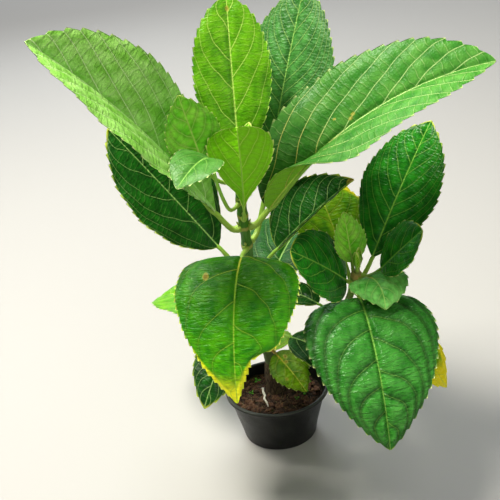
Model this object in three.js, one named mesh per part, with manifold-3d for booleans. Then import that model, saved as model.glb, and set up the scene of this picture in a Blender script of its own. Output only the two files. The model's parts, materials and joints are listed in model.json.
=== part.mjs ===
// A young hydrangea shrub in a small soft nursery pot.
// Millimetres, +Z up. The pot stands on its flat underside at z = 0, centred on the origin.
import * as THREE from "three";
import Module from "manifold-3d";

const wasm = await Module();
wasm.setup();

// The pot is thin, a little oval where it has been squeezed, and filled to just under its rim.
const potHeight = 54;
const potRim = 48;
const potFoot = 34;
const potOval = 0.81;
const potWall = 1.2;
const lipOut = 1.8;
const lipTall = 3.5;
const soilTop = 45;

// Every piece keeps this far from the one that carries it.
const gap = 0.3;

// Leaves are as thick as this share of their whole length.
const leafThick = 0.011;
const toothDepth = 0.07;

// The short woody foot forks into the main stem and a shoot that leans to the right.
const trunk = { foot: [-2, 6, soilTop + gap], tip: [-3, 4, 81], bow: [-1, 0, 0], wide: 6.8, narrow: 6 };
const mainStem = { foot: [-3.5, 3.5, 82.1], tip: [-15, -21, 285], bow: [-3, 4, 0], wide: 5.2, narrow: 3 };
const shoot = { foot: [9, 1, 70], tip: [72, -24, 185], bow: [10, 0, -9], wide: 4.4, narrow: 2.6 };

// A leaf grows from `at`, the share of the way up its stem, towards `bearing`.
// Its stalk climbs `lift` steeper than the foot of the blade, which starts out at `rise` and
// bends down by `arch` on its way to the tip, and round by `turn`. The halves of the blade
// leave the midrib at `fold` above level, steeper by `closed` at its foot, and turn up by `cup`
// towards the margin. `roll` lowers the right half, seen from the stem.
// `base` and `point` shape the outline: small numbers give a blunt end, large ones a drawn-out end.
// `pinch` is how much narrower the left half, seen from the stem, gets towards the tip.
const usual = {
  clear: gap, lift: 0, arch: 20, late: 1.2, turn: 0, roll: 0,
  fold: 10, closed: 0, cup: -12, base: 0.6, point: 0.85, pinch: 0,
};
const leaves = [
  // the lowest leaves of the main stem
  {
    name: "leaf_low_right", stem: mainStem, at: 0.165, bearing: -40, stalk: 24, length: 70, width: 48,
    rise: 5, lift: 30, arch: 45,
  },
  {
    name: "leaf_low_left", stem: mainStem, at: 0.165, bearing: 140, stalk: 28, length: 108, width: 72,
    rise: 14, lift: 25, arch: 55,
  },
  {
    name: "leaf_low_front", stem: mainStem, at: 0.295, bearing: -123, stalk: 22, length: 78, width: 50,
    rise: -8, lift: 40, arch: 45,
  },
  {
    name: "leaf_low_back", stem: mainStem, at: 0.295, bearing: 62, stalk: 30, length: 124, width: 84,
    rise: 24, lift: 20, arch: 55,
  },
  // the dark pair
  {
    name: "leaf_dark_left", stem: mainStem, at: 0.525, bearing: 170, stalk: 30, length: 128, width: 88,
    rise: 56, lift: -2, arch: 8, turn: -14, roll: -20, fold: 15, base: 0.75,
  },
  {
    name: "leaf_dark_right", stem: mainStem, at: 0.525, bearing: 0, stalk: 24, length: 84, width: 66,
    rise: 46, lift: 2, arch: 12, roll: 12, fold: 25, cup: 20,
  },
  // the bright leaf that hangs in front and the one opposite
  {
    name: "leaf_front", stem: mainStem, at: 0.64, bearing: -104, stalk: 16, length: 120, width: 97,
    rise: 2, lift: 25, arch: 78, late: 0.7, turn: 10, fold: 4, cup: -15, base: 0.3, point: 0.9, pinch: 0.5,
  },
  {
    name: "leaf_back_right", stem: mainStem, at: 0.64, bearing: 52, stalk: 52, length: 158, width: 92,
    rise: 66, lift: -10, arch: 8, base: 0.8,
  },
  // the two big leaves at the sides, folded like a boat, the right one closed at its foot
  {
    name: "leaf_big_left", stem: mainStem, at: 0.73, bearing: -162, stalk: 26, length: 185, width: 98,
    rise: 63, lift: -14, arch: 20, roll: -36, fold: 31, base: 1.1,
  },
  {
    name: "leaf_big_right", stem: mainStem, at: 0.73, bearing: -3, stalk: 22, length: 198, width: 92,
    rise: 52, lift: -8, arch: 44, turn: -6, roll: 28, fold: 29, closed: 48, base: 0.6, point: 0.7,
  },
  // the young leaves round the main tip
  {
    name: "leaf_back_middle", stem: mainStem, at: 0.785, bearing: 86, stalk: 48, length: 118, width: 62,
    rise: 73, lift: -12, arch: 8, point: 0.55,
  },
  {
    name: "leaf_cupped", stem: mainStem, at: 0.785, bearing: -84, stalk: 14, length: 74, width: 50,
    rise: 62, arch: -42, roll: -12, fold: 16, closed: 20, base: 1.5, point: 0.42,
  },
  {
    name: "leaf_young_back", stem: mainStem, at: 0.95, bearing: -158, stalk: 32, length: 54, width: 42,
    rise: 78, lift: -60, arch: 0, roll: -95, fold: 14,
  },
  {
    name: "leaf_young_left", stem: mainStem, at: 0.85, bearing: -121, stalk: 63, length: 44, width: 38,
    rise: 86, lift: -34, arch: 120, late: 0.3, turn: -10, roll: -10, fold: 12,
  },
  {
    name: "leaf_young_right", stem: mainStem, at: 0.98, bearing: 60, stalk: 6, length: 30, width: 20,
    rise: 60, lift: -10, arch: 10,
  },
  // the shoot on the right
  {
    name: "shoot_leaf_low_right", stem: shoot, at: 0.62, bearing: -38, stalk: 26, length: 80, width: 60,
    rise: 0, lift: 30, arch: 60,
  },
  {
    name: "shoot_leaf_low_left", stem: shoot, at: 0.62, bearing: 140, stalk: 18, length: 50, width: 34,
    rise: 15, lift: 25, arch: 40,
  },
  {
    name: "shoot_leaf_front", stem: shoot, at: 0.9, bearing: -86, stalk: 18, length: 124, width: 103,
    rise: 4, lift: 30, arch: 76, late: 0.6, fold: 5, cup: -10, base: 0.33, point: 0.85,
  },
  {
    name: "shoot_leaf_back", stem: shoot, at: 0.9, bearing: 100, stalk: 24, length: 98, width: 68,
    rise: 36, lift: 10, arch: 30,
  },
  {
    name: "shoot_leaf_right", stem: shoot, at: 0.94, bearing: 32, stalk: 22, length: 118, width: 72,
    rise: 61, lift: -20, arch: 8, roll: 10, base: 0.9,
  },
  {
    name: "shoot_leaf_left", stem: shoot, at: 0.94, bearing: -160, stalk: 4, length: 64, width: 62,
    rise: 46, arch: 10, roll: -40, base: 0.45, point: 0.6,
  },
  {
    name: "shoot_leaf_small", stem: shoot, at: 0.98, bearing: -60, stalk: 10, length: 39, width: 50,
    rise: 34, lift: 18, arch: 90, late: 0.8, turn: -35, point: 1.0,
  },
  {
    name: "shoot_leaf_upright", stem: shoot, at: 0.98, bearing: 105, stalk: 8, length: 42, width: 30,
    rise: 74, arch: 8, fold: 20,
  },
  {
    name: "shoot_leaf_young", stem: shoot, at: 0.99, bearing: -25, stalk: 18, length: 50, width: 48,
    rise: 53, lift: -35, arch: 5, roll: 26, point: 0.6,
  },
  // old leaves low on the plant
  {
    name: "old_leaf_front", stem: mainStem, at: 0.085, bearing: -58, stalk: 6, length: 46, width: 34,
    rise: -12, lift: 12, arch: 20, roll: 15,
  },
  {
    name: "old_leaf_back", stem: trunk, at: 0.8, bearing: 75, stalk: 14, length: 40, width: 28,
    rise: 5, lift: 25, arch: 30,
  },
];

const colours = {
  pot: 0x1e1f20,
  soil: 0x3a2a1e,
  bark: 0x6b5a3a,
  stem: 0x6f8a3c,
  leaf: 0x3f7d2c,
};

const turns = (degrees) => (degrees * Math.PI) / 180;
const vector = (a) => new THREE.Vector3(...a);
const smooth = (k) => THREE.MathUtils.smoothstep(k, 0, 1);

// A closed solid through rings that all have the same number of points, with a flat fan over each end.
function loft(rings) {
  const count = rings[0].length;
  const faces = [];
  for (let i = 0; i + 1 < rings.length; i++) {
    for (let j = 0; j < count; j++) {
      const a = i * count + j;
      const b = i * count + ((j + 1) % count);
      faces.push(a, b, b + count, a, b + count, a + count);
    }
  }
  const last = (rings.length - 1) * count;
  for (let j = 1; j + 1 < count; j++) {
    faces.push(0, j + 1, j, last, last + j, last + j + 1);
  }
  const geometry = new THREE.BufferGeometry().setFromPoints(rings.flat());
  geometry.setIndex(faces);
  geometry.computeVertexNormals();
  return geometry;
}

function stemPoint(stem, k) {
  const bow = vector(stem.bow).multiplyScalar(4 * k * (1 - k));
  return vector(stem.foot).lerp(vector(stem.tip), k).add(bow);
}

function stemRun(stem, k) {
  const a = stemPoint(stem, Math.max(0, k - 0.01));
  const b = stemPoint(stem, Math.min(1, k + 0.01));
  return b.sub(a).normalize();
}

// The stem narrows towards its tip and swells a little at each pair of leaves.
function stemRadius(stem, k) {
  let radius = stem.wide + (stem.narrow - stem.wide) * k;
  for (const node of stem.nodes) {
    radius += 0.9 * Math.exp(-(((k - node.at) * node.reach) ** 2));
  }
  return radius + (stem.flare || 0) * Math.exp(-k * 5);
}

// The direction across the stem that points along the bearing.
function acrossStem(stem, k, bearing) {
  const run = stemRun(stem, k);
  const out = new THREE.Vector3(Math.cos(bearing), Math.sin(bearing), 0);
  return out.addScaledVector(run, -out.dot(run)).normalize();
}

// A round tube along the stem, its two ends cut square, or level at the foot that stands on the soil.
function stemSolid(stem, sides, steps, levelEnds) {
  const rings = [];
  for (let i = 0; i <= steps; i++) {
    const k = i / steps;
    const run = levelEnds ? new THREE.Vector3(0, 0, 1) : stemRun(stem, k);
    const x = new THREE.Vector3(1, 0, 0).addScaledVector(run, -run.x).normalize();
    const y = run.clone().cross(x);
    const ring = [];
    for (let j = 0; j < sides; j++) {
      const a = (2 * Math.PI * j) / sides;
      const r = stemRadius(stem, k);
      ring.push(stemPoint(stem, k).addScaledVector(x, r * Math.cos(a)).addScaledVector(y, r * Math.sin(a)));
    }
    rings.push(ring);
  }
  return loft(rings);
}

// The leaf's centre line, as points with their direction, first along the stalk and then along the blade.
const stalkSteps = 40;
const bladeSteps = 160;
function centreLine(leaf) {
  const bearing = turns(leaf.bearing);
  const start = acrossStem(leaf.stem, leaf.at, bearing);
  const reach = stemRadius(leaf.stem, leaf.at) + leaf.clear;
  const point = stemPoint(leaf.stem, leaf.at).addScaledVector(start, reach);
  const line = [];
  for (let i = 0; i <= stalkSteps + bladeSteps; i++) {
    const k = Math.min(1, i / stalkSteps);
    const s = Math.max(0, (i - stalkSteps) / bladeSteps);
    const rise = turns(leaf.rise + leaf.lift * (1 - k) - leaf.arch * s ** leaf.late);
    const course = bearing + turns(leaf.turn * s);
    const run = new THREE.Vector3(
      Math.cos(rise) * Math.cos(course),
      Math.cos(rise) * Math.sin(course),
      Math.sin(rise),
    );
    if (i < stalkSteps) run.copy(start.clone().lerp(run, smooth(k / 0.3))).normalize();
    line.push({ point: point.clone(), run, course });
    const step = i < stalkSteps ? leaf.stalk / stalkSteps : leaf.length / bladeSteps;
    point.addScaledVector(run, step);
  }
  return line;
}

// Half the width of the blade at s from 0 at its foot to 1 at its tip, as a share of the widest.
function outline(leaf, s) {
  const m = leaf.base / (leaf.base + leaf.point);
  return (s / m) ** leaf.base * ((1 - s) / (1 - m)) ** leaf.point;
}

// Where a point u of the way from the midrib to the margin lies, across and up, and the slope there.
function halfSection(leaf, s, u) {
  const fold = turns(leaf.fold + leaf.closed * (1 - smooth((s - 0.1) / 0.35)));
  const cup = turns(leaf.cup);
  const slope = fold + cup * u;
  return {
    out: (Math.sin(slope) - Math.sin(fold)) / cup,
    up: (Math.cos(fold) - Math.cos(slope)) / cup,
    slope,
  };
}

// The stalk has ten sides. The same ten points run on as five above and five below the blade.
const spread = [-1, -0.5, 0, 0.5, 1];
function leafSolid(choice) {
  const leaf = { ...usual, ...choice };
  const line = centreLine(leaf);
  const thick = Math.max(leafThick * (leaf.stalk + leaf.length), 1.1);
  const stalkWide = 0.9 + 0.008 * leaf.length;
  const rings = [];
  const stalkStations = 4;
  const bladeStations = 2 * Math.round(leaf.length / 12) + 2;
  for (let i = 0; i < stalkStations; i++) {
    const { point, run, course } = line[Math.round((i / stalkStations) * stalkSteps)];
    const side = new THREE.Vector3(Math.sin(course), -Math.cos(course), 0);
    side.addScaledVector(run, -side.dot(run)).normalize();
    side.applyAxisAngle(run, turns(leaf.roll) * smooth(i / stalkStations));
    const up = side.clone().cross(run);
    const r = stalkWide * (1.2 - (0.3 * i) / stalkStations);
    const ring = [];
    for (let j = 0; j < 10; j++) {
      const a = turns(162 - 36 * j);
      ring.push(point.clone().addScaledVector(side, r * Math.cos(a)).addScaledVector(up, r * Math.sin(a)));
    }
    rings.push(ring);
  }
  for (let i = 0; i <= bladeStations; i++) {
    const s = i / bladeStations;
    const { point, run, course } = line[stalkSteps + Math.round(s * bladeSteps)];
    const level = new THREE.Vector3(Math.sin(course), -Math.cos(course), 0);
    const side = level.clone().applyAxisAngle(run, turns(leaf.roll));
    const up = side.clone().cross(run);
    const end = i === 0 || i === bladeStations;
    const notch = i % 2 ? 1 : 1 - toothDepth;
    const half = end ? 0.8 : Math.max(0.5 * leaf.width * outline(leaf, s) * notch, 0.8);
    const above = [];
    const below = [];
    for (const t of spread) {
      const { out, up: height, slope } = halfSection(leaf, s, Math.abs(t));
      const turned = t < 0 ? -1 : 1;
      const reach = t < 0 ? half * (1 - leaf.pinch * smooth((s - 0.64) / 0.1)) : half;
      const centre = point.clone().addScaledVector(side, turned * reach * out);
      centre.addScaledVector(up, reach * height);
      const normal = side.clone().multiplyScalar(t === 0 ? 0 : -turned * Math.sin(slope));
      normal.addScaledVector(up, t === 0 ? 1 : Math.cos(slope)).multiplyScalar(thick / 2);
      above.push(centre.clone().add(normal));
      below.unshift(centre.clone().sub(normal));
    }
    rings.push([...above, ...below]);
  }
  return loft(rings);
}

// A solid of revolution squeezed to an oval, through the given radius and height of each ring.
function ovalSolid(profile, sides) {
  return loft(profile.map(([r, z, rough = 0]) => {
    const ring = [];
    for (let j = 0; j < sides; j++) {
      const a = (2 * Math.PI * j) / sides;
      const bump = rough * (Math.sin(3 * a + r) + 0.6 * Math.sin(7 * a - 0.4 * r));
      ring.push(new THREE.Vector3(r * Math.cos(a), potOval * r * Math.sin(a), z + bump));
    }
    return ring;
  }));
}

const potWide = (z) => potFoot + (potRim - lipOut - potFoot) * (z / potHeight);

function potSolid() {
  const under = potHeight - lipTall;
  const inner = (z) => potWide(z) - potWall / potOval;
  return ovalSolid([
    [potFoot - 1.2, 0],
    [potFoot, 1.2],
    [potWide(20), 20],
    [potWide(under), under],
    [potRim, under + 0.8],
    [potRim, potHeight - 0.6],
    [potRim - 0.6, potHeight],
    [inner(potHeight) + 0.6, potHeight],
    [inner(potHeight), potHeight - 0.6],
    [inner(20), 20],
    [inner(1.5), 1.5],
  ], 56);
}

function soilSolid() {
  const inner = (z) => potWide(z) - (potWall + gap) / potOval;
  return ovalSolid([
    [inner(1.8), 1.8],
    [inner(soilTop - 2), soilTop - 2],
    [inner(soilTop - 1) - 0.4, soilTop - 1.2, 0.25],
    [34, soilTop - 1.4, 0.4],
    [26, soilTop - 1, 0.4],
    [19, soilTop - 0.2],
    [16, soilTop],
  ], 40);
}

// The woody foot, with the side arm that carries the shoot.
function trunkSolid() {
  const away = stemRun(shoot, 0);
  const arm = {
    foot: vector(shoot.foot).addScaledVector(away, -12.5).toArray(),
    tip: vector(shoot.foot).addScaledVector(away, -gap).toArray(),
    bow: [0, 0, 0],
    wide: 4.8,
    narrow: shoot.wide,
    nodes: [],
  };
  return joined([stemSolid(trunk, 16, 8, true), stemSolid(arm, 12, 4)]);
}

// The bud at the end of a stem: a small core with two pairs of leaflets that haven't opened yet.
function tipSolid(stem, size, bearing) {
  const run = stemRun(stem, 1);
  const foot = stemPoint(stem, 1).addScaledVector(run, gap);
  const core = {
    foot: foot.toArray(),
    tip: foot.clone().addScaledVector(run, size).toArray(),
    bow: [0, 0, 0],
    wide: stem.narrow,
    narrow: 0.9,
    nodes: [],
  };
  const parts = [stemSolid(core, 10, 4)];
  for (let i = 0; i < 4; i++) {
    const inner = i > 1;
    parts.push(leafSolid({
      name: "leaflet",
      stem: core,
      at: inner ? 0.7 : 0.3,
      clear: -1.5,
      bearing: bearing + 180 * i + (inner ? 90 : 0),
      stalk: 3,
      length: size * (inner ? 1.3 : 2),
      width: size * (inner ? 0.7 : 1),
      rise: 70 + 5 * i,
      arch: -20,
      fold: 25,
    }));
  }
  return joined(parts);
}

// Joins solids that reach into each other.
function joined(parts) {
  const solids = parts.map((geometry) => new wasm.Manifold(new wasm.Mesh({
    numProp: 3,
    vertProperties: new Float32Array(geometry.getAttribute("position").array),
    triVerts: new Uint32Array(geometry.index.array),
  })));
  const mesh = wasm.Manifold.union(solids).getMesh();
  const geometry = new THREE.BufferGeometry();
  geometry.setAttribute("position", new THREE.BufferAttribute(new Float32Array(mesh.vertProperties), 3));
  geometry.setIndex([...mesh.triVerts]);
  geometry.computeVertexNormals();
  return geometry;
}

const group = new THREE.Group();
group.name = "hydrangea_shrub";

function add(name, geometry, colour, roughness) {
  const mesh = new THREE.Mesh(geometry, new THREE.MeshStandardMaterial({ color: colour, roughness }));
  mesh.name = name;
  group.add(mesh);
}

// Each stem swells where its leaves stand.
for (const stem of [trunk, mainStem, shoot]) {
  const places = new Set(leaves.filter((leaf) => leaf.stem === stem).map((leaf) => leaf.at));
  const tall = vector(stem.tip).distanceTo(vector(stem.foot));
  stem.nodes = stem === trunk ? [] : [...places].map((at) => ({ at, reach: tall / 5 }));
}
trunk.flare = 2.2;

add("pot", potSolid(), colours.pot, 0.6);
add("soil", soilSolid(), colours.soil, 0.95);
add("trunk", trunkSolid(), colours.bark, 0.85);
add("main_stem", stemSolid(mainStem, 12, 36), colours.stem, 0.6);
add("right_stem", stemSolid(shoot, 12, 26), colours.stem, 0.6);
for (const leaf of leaves) {
  add(leaf.name, leafSolid(leaf), colours.leaf, 0.5);
}
add("main_tip", tipSolid(mainStem, 10, 20), colours.leaf, 0.5);
add("right_tip", tipSolid(shoot, 8, 60), colours.leaf, 0.5);

export default group;
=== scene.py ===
import json
import math
import random
from functools import partial

import bpy
import numpy as np
from mathutils import Matrix, Vector


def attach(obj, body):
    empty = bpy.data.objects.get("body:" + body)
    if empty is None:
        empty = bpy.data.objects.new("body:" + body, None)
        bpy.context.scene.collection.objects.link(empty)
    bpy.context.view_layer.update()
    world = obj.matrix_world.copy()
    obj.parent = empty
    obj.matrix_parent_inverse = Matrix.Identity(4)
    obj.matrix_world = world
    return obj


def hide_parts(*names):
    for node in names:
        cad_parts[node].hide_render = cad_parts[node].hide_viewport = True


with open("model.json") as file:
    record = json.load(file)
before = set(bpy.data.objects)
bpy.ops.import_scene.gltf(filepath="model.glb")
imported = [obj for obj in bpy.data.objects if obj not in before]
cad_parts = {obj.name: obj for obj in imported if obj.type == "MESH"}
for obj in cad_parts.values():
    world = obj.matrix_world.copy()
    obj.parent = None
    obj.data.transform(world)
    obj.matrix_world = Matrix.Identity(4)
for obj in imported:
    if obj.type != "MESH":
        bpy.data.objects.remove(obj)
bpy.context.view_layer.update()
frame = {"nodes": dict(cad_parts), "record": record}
slotOf = {part["node"]: part["material_slot"] for part in frame["record"]["subparts"]}
mm = 0.001  # every size below is in millimetres
print("frame loaded:", len(frame["nodes"]), "nodes")

cameraLook = {
    "place": (-11.7, -498.8, 490.0),
    "down": 30,  # degrees below the horizon
    "roll": 6,
    "lens": 50.4,
}


def makeCamera():
    down, roll = math.radians(cameraLook["down"]), math.radians(cameraLook["roll"])
    level = Vector((1, 0, 0))
    rise = Vector((0, math.sin(down), math.cos(down)))
    back = Vector((0, -math.cos(down), math.sin(down)))
    right = level * math.cos(roll) - rise * math.sin(roll)
    up = level * math.sin(roll) + rise * math.cos(roll)
    camera = bpy.data.objects.new("camera", bpy.data.cameras.new("camera"))
    camera.data.lens = cameraLook["lens"]
    camera.data.sensor_width = 36
    camera.data.clip_start = 0.01
    turned = Matrix((right, up, back)).transposed().to_4x4()
    camera.matrix_world = Matrix.Translation(Vector(cameraLook["place"]) * mm) @ turned
    bpy.context.scene.collection.objects.link(camera)
    bpy.context.scene.camera = camera


makeCamera()


def colour(text):
    parts = [int(text[i:i + 2], 16) / 255 for i in (1, 3, 5)]
    return (*[p / 12.92 if p <= 0.04045 else ((p + 0.055) / 1.055) ** 2.4 for p in parts], 1)


eased = {"interpolation_type": "SMOOTHSTEP"}
usualSettings = {"Mix": {"data_type": "RGBA"}}


# Adds a node and returns its outputs. A value that is another node's output is linked.
def addNode(tree, kind, values=None):
    node = tree.nodes.new("ShaderNode" + kind)
    for key, value in {**usualSettings.get(kind, {}), **(values or {})}.items():
        if isinstance(value, bpy.types.NodeSocket):
            tree.links.new(value, node.inputs[key])
        elif isinstance(key, int) or key in node.inputs:
            node.inputs[key].default_value = value
        else:
            setattr(node, key, value)
    return node.outputs


# A new material, and addNode for its tree.
def newMaterial(name):
    material = bpy.data.materials.new(name)
    material.use_nodes = True
    material.node_tree.nodes.clear()
    return material, partial(addNode, material.node_tree)


stageLook = {
    "floor": "#b6b5b0",
    "floorReach": 30,  # metres
    "sky": "#eef0ee",
    "skyStrength": 0.23,
    # name, place, aimed at, size, watts, colour
    "lights": [
        ("above", (-0.5, 0.1, 1.6), (0, 0, 0.2), 0.5, 42, "#fffaf0"),
        ("behind", (-0.4, 1.6, 1.2), (0, 0, 0.25), 0.9, 9, "#eef5ff"),
        ("far", (0.3, 4.8, 4.2), (0.2, 4.2, 0), 3.0, 190, "#f4f6ff"),
        ("front", (0.8, -1.4, 1.0), (0, 0, 0.15), 1.0, 7, "#fffaf2"),
    ],
}


def makeStage():
    mesh = bpy.data.meshes.new("floor")
    r = stageLook["floorReach"]
    mesh.from_pydata([(-r, -r, 0), (r, -r, 0), (r, r, 0), (-r, r, 0)], [], [(0, 1, 2, 3)])
    floor = bpy.data.objects.new("floor", mesh)
    bpy.context.scene.collection.objects.link(floor)
    material, add = newMaterial("matt_painted_floor")
    paint = add("BsdfPrincipled", {"Base Color": colour(stageLook["floor"]), "Roughness": 0.85})
    add("OutputMaterial", {"Surface": paint[0]})
    mesh.materials.append(material)
    world = bpy.data.worlds.new("soft_sky")
    world.use_nodes = True
    world.node_tree.nodes["Background"].inputs[0].default_value = colour(stageLook["sky"])
    world.node_tree.nodes["Background"].inputs[1].default_value = stageLook["skyStrength"]
    bpy.context.scene.world = world
    for name, place, aim, size, watts, tint in stageLook["lights"]:
        lamp = bpy.data.lights.new(name, "AREA")
        lamp.size = size
        lamp.energy = watts
        lamp.color = colour(tint)[:3]
        holder = bpy.data.objects.new("light_" + name, lamp)
        holder.location = place
        holder.rotation_euler = (Vector(place) - Vector(aim)).to_track_quat("Z", "Y").to_euler()
        holder.visible_glossy = name != "far"  # this one only brightens the floor behind the plant
        bpy.context.scene.collection.objects.link(holder)


makeStage()
bpy.context.scene.view_settings.view_transform = "Standard"


# Turns arrays in millimetres into an object. fields is {name: three numbers for each point}, for the
# patterns; kinds is the number of each face's material.
def makePiece(name, points, faces, materials, fields=None, uv=None, kinds=None, smooth=True):
    mesh = bpy.data.meshes.new(name)
    mesh.from_pydata((np.asarray(points, float) * mm).tolist(), [], [list(map(int, f)) for f in faces])
    for material in materials:
        mesh.materials.append(material)
    for field, values in (fields or {}).items():
        layer = mesh.attributes.new(field, "FLOAT_VECTOR", "POINT")
        layer.data.foreach_set("vector", np.asarray(values, np.float32).ravel())
    if uv is not None:
        corners = np.empty(len(mesh.loops), np.int32)
        mesh.loops.foreach_get("vertex_index", corners)
        layer = mesh.uv_layers.new(name="OFBake")
        layer.data.foreach_set("uv", np.asarray(uv, np.float32)[corners].ravel())
    if kinds is not None:
        mesh.polygons.foreach_set("material_index", np.asarray(kinds, np.int32))
    mesh.polygons.foreach_set("use_smooth", [smooth] * len(mesh.polygons))
    mesh.update()
    piece = bpy.data.objects.new(name, mesh)
    bpy.context.scene.collection.objects.link(piece)
    return piece


# Lets a piece ride on the plant, and hides the nodes that it stands for. slot is not used.
def place(piece, slot, *nodes):
    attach(piece, "root")
    if nodes:
        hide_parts(*nodes)


# The quads between rows of points, each row a closed ring or an open line.
def gridFaces(rows, columns, closed, start=0):
    i, j = np.meshgrid(np.arange(rows - 1), np.arange(columns if closed else columns - 1), indexing="ij")
    a = start + i * columns + j
    b = start + i * columns + (j + 1) % columns
    return np.stack([a, b, b + columns, a + columns], -1).reshape(-1, 4)


# The faces of a round bar: quads between its rings, then a flat cap at each end.
def barFaces(rows, sides, start=0):
    end = start + rows * sides
    caps = [list(range(start, start + sides))[::-1], list(range(end - sides, end))]
    return gridFaces(rows, sides, True, start).tolist() + caps


def circle(sides):
    return np.linspace(0, 2 * math.pi, sides, endpoint=False)


def ringOn(angle, x, y):
    return np.cos(angle)[:, None] * x + np.sin(angle)[:, None] * y


def smoothStep(k):
    k = np.clip(k, 0, 1)
    return k * k * (3 - 2 * k)


# Soft random hills, the same each run: a few sine waves in seeded directions.
def hills(points, size, seed):
    dice = np.random.default_rng(seed)
    total = np.zeros(len(points))
    for _ in range(7):
        way = dice.normal(size=3)
        way /= np.linalg.norm(way)
        total += np.sin(points @ way * (2 * math.pi / size) * dice.uniform(0.6, 1.5) + dice.uniform(0, 6.3))
    return total / 3.5


gap = 0.3  # between the solids of stems, stalks, soil and pot
swelling = {"high": 0.9, "long": 5}  # of a stem at its nodes
# k runs from 0 at a stem's foot to 1 at its tip; bow bends its middle, wide and narrow are radii
trunk = {"foot": (-2, 6, 45.3), "tip": (-3, 4, 81), "bow": (-1, 0, 0), "wide": 6.8, "narrow": 6,
         "flare": 2.2}  # how much wider it gets at the soil
mainStem = {"foot": (-3.5, 3.5, 82.1), "tip": (-15, -21, 285), "bow": (-3, 4, 0), "wide": 5.2, "narrow": 3}
shoot = {"foot": (9, 1, 70), "tip": (72, -24, 185), "bow": (10, 0, -9), "wide": 4.4, "narrow": 2.6}


def unit(v):
    return v / np.linalg.norm(v, axis=-1, keepdims=True)


def stemPoint(stem, k):
    foot, tip, bow = (np.array(stem[n], float) for n in ("foot", "tip", "bow"))
    return foot + (tip - foot) * k + bow * 4 * k * (1 - k)


def stemRun(stem, k):
    return unit(stemPoint(stem, min(1, k + 0.01)) - stemPoint(stem, max(0, k - 0.01)))


# Two directions at right angles to a run, the first of them nearest to x.
def axesAcross(run):
    x = unit(np.array((1, 0, 0)) - run * run[0])
    return x, np.cross(run, x)


def stemRadius(stem, k):
    radius = stem["wide"] + (stem["narrow"] - stem["wide"]) * k
    for at in stem["nodes"]:
        radius += swelling["high"] * math.exp(-(((k - at) * stem["reach"]) ** 2))
    return radius + stem.get("flare", 0) * math.exp(-k * 5)


def acrossStem(stem, k, bearing):
    run = stemRun(stem, k)
    out = np.array((math.cos(bearing), math.sin(bearing), 0))
    return unit(out - run * (out @ run))


# A leaf grows from `at`, the share of the way up its stem, towards `bearing`. Its stalk starts `clear`
# of the stem and `lift` steeper than the blade. The blade starts out at `rise` and bends down by `arch`
# on its way to the tip, nearer the tip where `late` is large, and round by `turn`. Its halves leave the
# midrib at `fold` above level, steeper by `closed` at its foot, and turn up by `cup` towards the margin.
# `roll` lowers the right half, seen from the stem. `base` and `point` shape the outline: small numbers
# give a blunt end. `pinch` narrows the left half towards the tip.
usual = {
    "clear": gap, "lift": 0, "arch": 20, "late": 1.2, "turn": 0, "roll": 0, "fold": 10, "closed": 0,
    "cup": -12, "base": 0.6, "point": 0.85, "pinch": 0,
    # only for the fine leaf: its side veins, how far they slant and sweep towards the tip, how far
    # apart its small veins and its teeth are, how high it puffs up between the veins, its blemishes
    # (along, across, size), and how much thinner its midrib gets under the blade
    "look": "deep", "veins": 6, "slant": 1.1, "sweep": 0.5, "rungs": 4.6, "teeth": 7, "puff": 0.9,
    "marks": (), "sunk": 0,
}
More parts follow.
